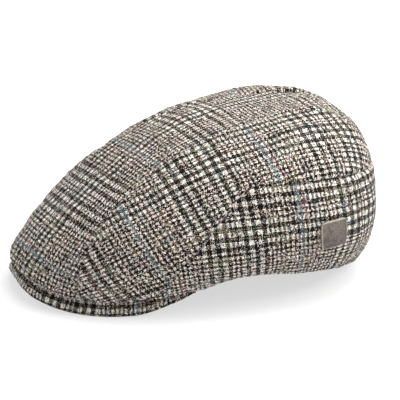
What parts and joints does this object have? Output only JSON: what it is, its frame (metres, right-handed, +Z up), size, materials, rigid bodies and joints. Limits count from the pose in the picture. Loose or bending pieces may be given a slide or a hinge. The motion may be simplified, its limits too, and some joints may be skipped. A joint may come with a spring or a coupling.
{
  "type": "flat cap with ear flaps",
  "caption": "Duckbill flat cap of sewn checked tweed panels with a covered peak, a deep rear band, a small badge and an ear flap turned up inside.",
  "frame": {"origin": "centre of the footprint of the cap's bounding box, on the surface it rests on", "axes": "+Z up, -Y towards the front of the peak, +X towards the wearer's left"},
  "size_m": [0.1938, 0.2708, 0.1193],
  "materials": {
    "tweed": "woven wool tweed in a dark brown and ivory glen check with a blue overcheck",
    "flap_wool": "plain brushed wool",
    "badge_leather": "pressed leather with a raised border, left blank"
  },
  "bodies": {
    "root": {"centre_panel": "tweed", "left_side_panel": "tweed", "right_side_panel": "tweed", "rear_band": "tweed", "peak": "tweed", "ear_flap": "flap_wool", "badge": "badge_leather"}
  },
  "joints": []
}
